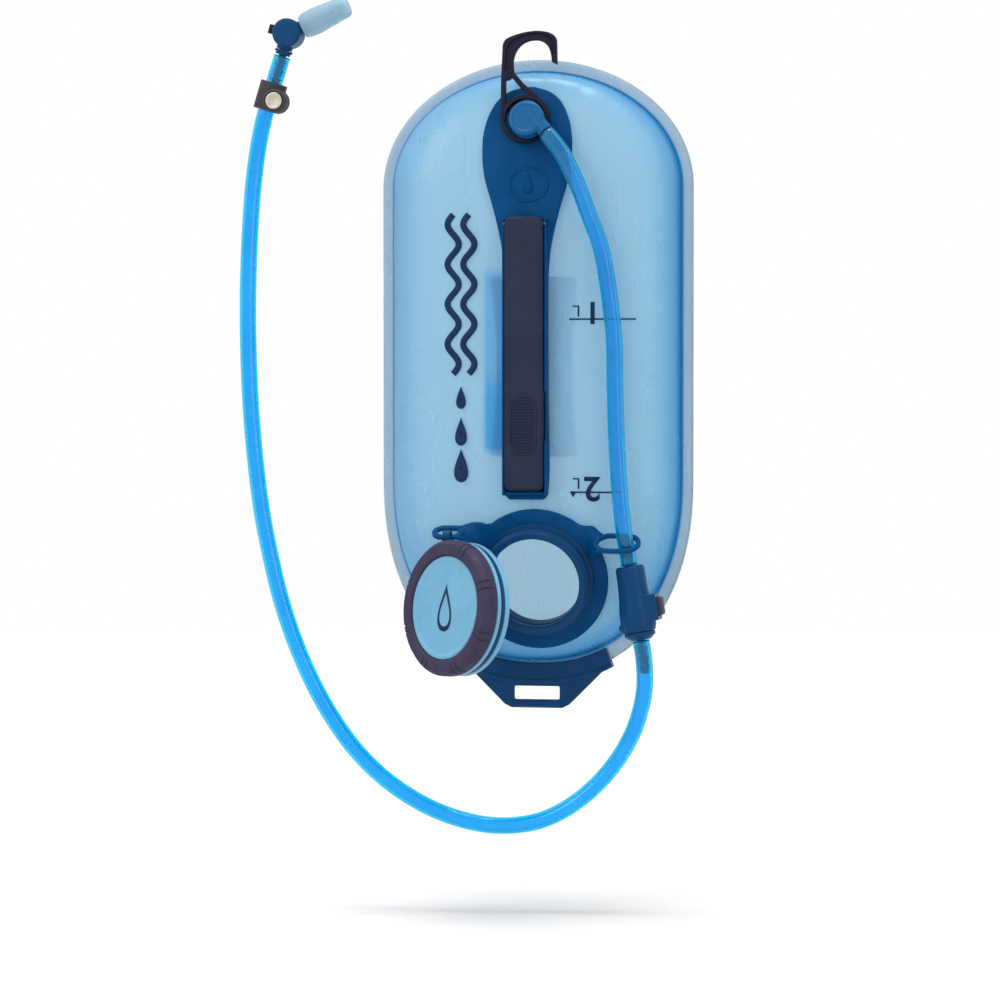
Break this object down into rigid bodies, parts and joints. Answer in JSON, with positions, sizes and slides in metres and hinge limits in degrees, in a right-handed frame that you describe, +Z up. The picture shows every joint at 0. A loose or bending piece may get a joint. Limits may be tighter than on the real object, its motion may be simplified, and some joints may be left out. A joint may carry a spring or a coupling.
{
  "type": "hydration bladder",
  "caption": "Flat film water reservoir hung by its drying hook: open fill port, cap on a strap, spine lever, hose with quick disconnect, clip and bite valve.",
  "frame": {"origin": "the drying hook's seat, the highest point inside its arch, from which the whole part hangs", "axes": "+X right as seen from the front, -Y towards the viewer, +Z up"},
  "size_m": [0.2492, 0.1088, 0.4652],
  "materials": {
    "film": "clear pale blue film, softly creased",
    "blue_plastic": "deep blue moulded plastic",
    "dark_plastic": "near-black moulded plastic",
    "hose_blue": "clear bright blue tube",
    "cap_blue": "light blue moulded plastic",
    "silicone": "translucent silicone",
    "seal": "grey rubber",
    "magnet": "dull nickel plating",
    "steel": "pale metal"
  },
  "bodies": {
    "root": {"front_shell": "film", "back_shell": "film", "centre_baffle": "film", "spine_plate": "blue_plastic", "lever_pin": "steel", "bottom_bracket": "blue_plastic", "outlet_socket": "blue_plastic", "outlet_seal": "seal", "elbow": "blue_plastic", "port_flange": "blue_plastic", "port_neck": "blue_plastic", "upper_hose": "hose_blue", "coupling_socket": "blue_plastic"},
    "hook": {"drying_hook": "dark_plastic"},
    "lever": {"clip_lever": "dark_plastic"},
    "tether": {"cap_tether": "blue_plastic"},
    "cap": {"cap_grip": "dark_plastic", "cap_body": "cap_blue", "cap_gasket": "seal"},
    "button": {"latch_button": "dark_plastic"},
    "drink_line": {"coupling_plug": "blue_plastic", "plug_seal": "seal", "drink_hose": "hose_blue", "valve_stem": "blue_plastic"},
    "clip": {"clip_body": "dark_plastic", "clip_magnet": "magnet"},
    "valve": {"valve_housing": "blue_plastic", "bite_valve": "silicone"},
    "shutoff": {"shutoff_lever": "dark_plastic"}
  },
  "joints": [
    {"name": "hook_swing", "type": "hinge", "parent": "root", "child": "hook", "pos_m": [-0.0037, -0.01033, -0.04472], "axis": [0, -0.9744, 0.225], "range_deg": [-60, 60]},
    {"name": "lever_open", "type": "hinge", "parent": "root", "child": "lever", "pos_m": [-0.0034, -0.01449, -0.103], "axis": [-1, 0, 0], "range_deg": [0, 35]},
    {"name": "tether_swing", "type": "hinge", "parent": "root", "child": "tether", "pos_m": [-0.0466, -0.01742, -0.27685], "axis": [-1, 0, 0], "range_deg": [0, 70]},
    {"name": "cap_spin", "type": "hinge", "parent": "tether", "child": "cap", "pos_m": [-0.037, -0.041, -0.3153], "axis": [-0.6398, -0.7625, 0.0958], "continuous": true},
    {"name": "latch_press", "type": "slide", "parent": "root", "child": "button", "axis": [-0.9877, 0, -0.1564], "range_m": [0, 0.0018], "stiffness_N_per_m": 300},
    {"name": "hose_release", "type": "slide", "parent": "root", "child": "drink_line", "axis": [0.1564, 0, -0.9877], "range_m": [0, 0.018]},
    {"name": "clip_turn", "type": "hinge", "parent": "drink_line", "child": "clip", "pos_m": [-0.1459, -0.0244, -0.0313], "axis": [0.2924, 0, 0.9563], "continuous": true},
    {"name": "valve_swivel", "type": "hinge", "parent": "drink_line", "child": "valve", "pos_m": [-0.1381, -0.0244, -0.006], "axis": [0.2924, 0, 0.9563], "continuous": true},
    {"name": "shutoff_turn", "type": "hinge", "parent": "valve", "child": "shutoff", "pos_m": [-0.13518, -0.0244, 0.00356], "axis": [0, 1, 0], "range_deg": [0, 90]}
  ]
}
